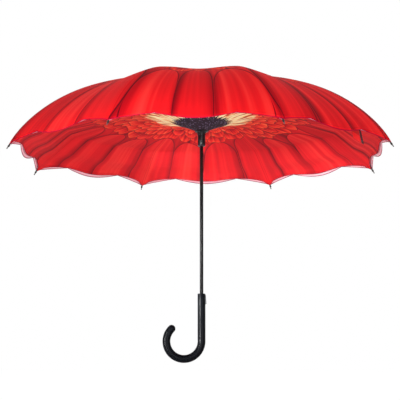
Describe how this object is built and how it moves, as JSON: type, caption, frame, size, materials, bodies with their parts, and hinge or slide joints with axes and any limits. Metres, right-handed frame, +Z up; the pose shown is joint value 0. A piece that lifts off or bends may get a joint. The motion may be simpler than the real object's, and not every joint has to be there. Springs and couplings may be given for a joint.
{
  "type": "inverted umbrella",
  "caption": "Open inverted umbrella with two canopies, folding ribs, a sliding runner on a slim shaft and a crook handle with a release button.",
  "frame": {"origin": "on the shaft's axis, at the middle of the handle's straight grip", "axes": "+Z up the shaft to the crown; the crook turns towards -X and the button faces +X"},
  "size_m": [0.9916, 0.9916, 0.7871],
  "materials": {
    "fabric_red": "matte",
    "fabric_maroon": "matte",
    "plastic_black": "satin",
    "plastic_grey": "satin",
    "steel_black": "satin",
    "fibre_black": "satin",
    "steel_bright": "satin"
  },
  "bodies": {
    "shaft": {"shaft_tube": "steel_black", "handle": "plastic_black", "handle_bushing": "plastic_black", "crown": "plastic_black", "crown_wire": "steel_bright", "crown_washer": "plastic_black", "top_cap": "plastic_black", "upper_stop": "plastic_black", "outer_canopy": "fabric_red", "inner_canopy": "fabric_red", "button_spring": "steel_bright"},
    "button": {"release_button": "plastic_grey"},
    "runner": {"runner": "plastic_black", "runner_hub": "plastic_black", "runner_wire": "steel_bright", "runner_ring": "plastic_grey"},
    "stretcher_1": {"stretcher_1": "steel_black"},
    "inner_rib_1": {"inner_rib_1": "steel_black"},
    "outer_rib_1": {"outer_rib_1": "fibre_black", "rivet_1": "steel_bright", "tip_cap_1": "plastic_black"},
    "stretcher_2": {"stretcher_2": "steel_black"},
    "inner_rib_2": {"inner_rib_2": "steel_black"},
    "outer_rib_2": {"outer_rib_2": "fibre_black", "rivet_2": "steel_bright", "tip_cap_2": "plastic_black"},
    "stretcher_3": {"stretcher_3": "steel_black"},
    "inner_rib_3": {"inner_rib_3": "steel_black"},
    "outer_rib_3": {"outer_rib_3": "fibre_black", "rivet_3": "steel_bright", "tip_cap_3": "plastic_black"},
    "stretcher_4": {"stretcher_4": "steel_black"},
    "inner_rib_4": {"inner_rib_4": "steel_black"},
    "outer_rib_4": {"outer_rib_4": "fibre_black", "rivet_4": "steel_bright", "tip_cap_4": "plastic_black"},
    "stretcher_5": {"stretcher_5": "steel_black"},
    "inner_rib_5": {"inner_rib_5": "steel_black"},
    "outer_rib_5": {"outer_rib_5": "fibre_black", "rivet_5": "steel_bright", "tip_cap_5": "plastic_black"},
    "stretcher_6": {"stretcher_6": "steel_black"},
    "inner_rib_6": {"inner_rib_6": "steel_black"},
    "outer_rib_6": {"outer_rib_6": "fibre_black", "rivet_6": "steel_bright", "tip_cap_6": "plastic_black"},
    "stretcher_7": {"stretcher_7": "steel_black"},
    "inner_rib_7": {"inner_rib_7": "steel_black"},
    "outer_rib_7": {"outer_rib_7": "fibre_black", "rivet_7": "steel_bright", "tip_cap_7": "plastic_black"},
    "stretcher_8": {"stretcher_8": "steel_black"},
    "inner_rib_8": {"inner_rib_8": "steel_black"},
    "outer_rib_8": {"outer_rib_8": "fibre_black", "rivet_8": "steel_bright", "tip_cap_8": "plastic_black", "strap_tab": "fabric_red", "closing_strap": "fabric_maroon", "strap_snap": "steel_bright"}
  },
  "joints": [
    {"name": "runner_slide", "type": "slide", "parent": "shaft", "child": "runner", "axis": [0, 0, 1], "range_m": [-0.4, 0], "stiffness_N_per_m": 30, "springref_m": 0.4, "deforming": ["outer_canopy", "inner_canopy"]},
    {"name": "button_slide", "type": "slide", "parent": "shaft", "child": "button", "axis": [-1, 0, 0], "range_m": [0, 0.0018], "stiffness_N_per_m": 400, "springref_m": -0.001, "deforming": ["button_spring"]},
    {"name": "stretcher_hinge_1", "type": "hinge", "parent": "shaft", "child": "stretcher_1", "pos_m": [0.01386, 0.00574, 0.6446], "axis": [-0.3827, 0.9239, 0], "range_deg": [0, 72.35]},
    {"name": "inner_rib_hinge_1", "type": "hinge", "parent": "runner", "child": "inner_rib_1", "pos_m": [0.01386, 0.00574, 0.5182], "axis": [0.3827, -0.9239, 0], "range_deg": [0, 58.52]},
    {"name": "elbow_hinge_1", "type": "hinge", "parent": "inner_rib_1", "child": "outer_rib_1", "pos_m": [0.25268, 0.10466, 0.61625], "axis": [0.3827, -0.9239, 0], "range_deg": [0, 58.6]},
    {"name": "stretcher_hinge_2", "type": "hinge", "parent": "shaft", "child": "stretcher_2", "pos_m": [0.00574, 0.01386, 0.6446], "axis": [-0.9239, 0.3827, 0], "range_deg": [0, 72.35]},
    {"name": "inner_rib_hinge_2", "type": "hinge", "parent": "runner", "child": "inner_rib_2", "pos_m": [0.00574, 0.01386, 0.5182], "axis": [0.9239, -0.3827, 0], "range_deg": [0, 58.52]},
    {"name": "elbow_hinge_2", "type": "hinge", "parent": "inner_rib_2", "child": "outer_rib_2", "pos_m": [0.10466, 0.25268, 0.61625], "axis": [0.9239, -0.3827, 0], "range_deg": [0, 58.6]},
    {"name": "stretcher_hinge_3", "type": "hinge", "parent": "shaft", "child": "stretcher_3", "pos_m": [-0.00574, 0.01386, 0.6446], "axis": [-0.9239, -0.3827, 0], "range_deg": [0, 72.35]},
    {"name": "inner_rib_hinge_3", "type": "hinge", "parent": "runner", "child": "inner_rib_3", "pos_m": [-0.00574, 0.01386, 0.5182], "axis": [0.9239, 0.3827, 0], "range_deg": [0, 58.52]},
    {"name": "elbow_hinge_3", "type": "hinge", "parent": "inner_rib_3", "child": "outer_rib_3", "pos_m": [-0.10466, 0.25268, 0.61625], "axis": [0.9239, 0.3827, 0], "range_deg": [0, 58.6]},
    {"name": "stretcher_hinge_4", "type": "hinge", "parent": "shaft", "child": "stretcher_4", "pos_m": [-0.01386, 0.00574, 0.6446], "axis": [-0.3827, -0.9239, 0], "range_deg": [0, 72.35]},
    {"name": "inner_rib_hinge_4", "type": "hinge", "parent": "runner", "child": "inner_rib_4", "pos_m": [-0.01386, 0.00574, 0.5182], "axis": [0.3827, 0.9239, 0], "range_deg": [0, 58.52]},
    {"name": "elbow_hinge_4", "type": "hinge", "parent": "inner_rib_4", "child": "outer_rib_4", "pos_m": [-0.25268, 0.10466, 0.61625], "axis": [0.3827, 0.9239, 0], "range_deg": [0, 58.6]},
    {"name": "stretcher_hinge_5", "type": "hinge", "parent": "shaft", "child": "stretcher_5", "pos_m": [-0.01386, -0.00574, 0.6446], "axis": [0.3827, -0.9239, 0], "range_deg": [0, 72.35]},
    {"name": "inner_rib_hinge_5", "type": "hinge", "parent": "runner", "child": "inner_rib_5", "pos_m": [-0.01386, -0.00574, 0.5182], "axis": [-0.3827, 0.9239, 0], "range_deg": [0, 58.52]},
    {"name": "elbow_hinge_5", "type": "hinge", "parent": "inner_rib_5", "child": "outer_rib_5", "pos_m": [-0.25268, -0.10466, 0.61625], "axis": [-0.3827, 0.9239, 0], "range_deg": [0, 58.6]},
    {"name": "stretcher_hinge_6", "type": "hinge", "parent": "shaft", "child": "stretcher_6", "pos_m": [-0.00574, -0.01386, 0.6446], "axis": [0.9239, -0.3827, 0], "range_deg": [0, 72.35]},
    {"name": "inner_rib_hinge_6", "type": "hinge", "parent": "runner", "child": "inner_rib_6", "pos_m": [-0.00574, -0.01386, 0.5182], "axis": [-0.9239, 0.3827, 0], "range_deg": [0, 58.52]},
    {"name": "elbow_hinge_6", "type": "hinge", "parent": "inner_rib_6", "child": "outer_rib_6", "pos_m": [-0.10466, -0.25268, 0.61625], "axis": [-0.9239, 0.3827, 0], "range_deg": [0, 58.6]},
    {"name": "stretcher_hinge_7", "type": "hinge", "parent": "shaft", "child": "stretcher_7", "pos_m": [0.00574, -0.01386, 0.6446], "axis": [0.9239, 0.3827, 0], "range_deg": [0, 72.35]},
    {"name": "inner_rib_hinge_7", "type": "hinge", "parent": "runner", "child": "inner_rib_7", "pos_m": [0.00574, -0.01386, 0.5182], "axis": [-0.9239, -0.3827, 0], "range_deg": [0, 58.52]},
    {"name": "elbow_hinge_7", "type": "hinge", "parent": "inner_rib_7", "child": "outer_rib_7", "pos_m": [0.10466, -0.25268, 0.61625], "axis": [-0.9239, -0.3827, 0], "range_deg": [0, 58.6]},
    {"name": "stretcher_hinge_8", "type": "hinge", "parent": "shaft", "child": "stretcher_8", "pos_m": [0.01386, -0.00574, 0.6446], "axis": [0.3827, 0.9239, 0], "range_deg": [0, 72.35]},
    {"name": "inner_rib_hinge_8", "type": "hinge", "parent": "runner", "child": "inner_rib_8", "pos_m": [0.01386, -0.00574, 0.5182], "axis": [-0.3827, -0.9239, 0], "range_deg": [0, 58.52]},
    {"name": "elbow_hinge_8", "type": "hinge", "parent": "inner_rib_8", "child": "outer_rib_8", "pos_m": [0.25268, -0.10466, 0.61625], "axis": [-0.3827, -0.9239, 0], "range_deg": [0, 58.6]}
  ],
  "couplings": [
    {"joint": "stretcher_hinge_1", "follows": "runner_slide", "rad_per_m": -3.1523},
    {"joint": "inner_rib_hinge_1", "follows": "runner_slide", "rad_per_m": -2.5492},
    {"joint": "elbow_hinge_1", "follows": "runner_slide", "rad_per_m": -2.5525},
    {"joint": "stretcher_hinge_2", "follows": "runner_slide", "rad_per_m": -3.1523},
    {"joint": "inner_rib_hinge_2", "follows": "runner_slide", "rad_per_m": -2.5492},
    {"joint": "elbow_hinge_2", "follows": "runner_slide", "rad_per_m": -2.5525},
    {"joint": "stretcher_hinge_3", "follows": "runner_slide", "rad_per_m": -3.1523},
    {"joint": "inner_rib_hinge_3", "follows": "runner_slide", "rad_per_m": -2.5492},
    {"joint": "elbow_hinge_3", "follows": "runner_slide", "rad_per_m": -2.5525},
    {"joint": "stretcher_hinge_4", "follows": "runner_slide", "rad_per_m": -3.1523},
    {"joint": "inner_rib_hinge_4", "follows": "runner_slide", "rad_per_m": -2.5492},
    {"joint": "elbow_hinge_4", "follows": "runner_slide", "rad_per_m": -2.5525},
    {"joint": "stretcher_hinge_5", "follows": "runner_slide", "rad_per_m": -3.1523},
    {"joint": "inner_rib_hinge_5", "follows": "runner_slide", "rad_per_m": -2.5492},
    {"joint": "elbow_hinge_5", "follows": "runner_slide", "rad_per_m": -2.5525},
    {"joint": "stretcher_hinge_6", "follows": "runner_slide", "rad_per_m": -3.1523},
    {"joint": "inner_rib_hinge_6", "follows": "runner_slide", "rad_per_m": -2.5492},
    {"joint": "elbow_hinge_6", "follows": "runner_slide", "rad_per_m": -2.5525},
    {"joint": "stretcher_hinge_7", "follows": "runner_slide", "rad_per_m": -3.1523},
    {"joint": "inner_rib_hinge_7", "follows": "runner_slide", "rad_per_m": -2.5492},
    {"joint": "elbow_hinge_7", "follows": "runner_slide", "rad_per_m": -2.5525},
    {"joint": "stretcher_hinge_8", "follows": "runner_slide", "rad_per_m": -3.1523},
    {"joint": "inner_rib_hinge_8", "follows": "runner_slide", "rad_per_m": -2.5492},
    {"joint": "elbow_hinge_8", "follows": "runner_slide", "rad_per_m": -2.5525}
  ]
}
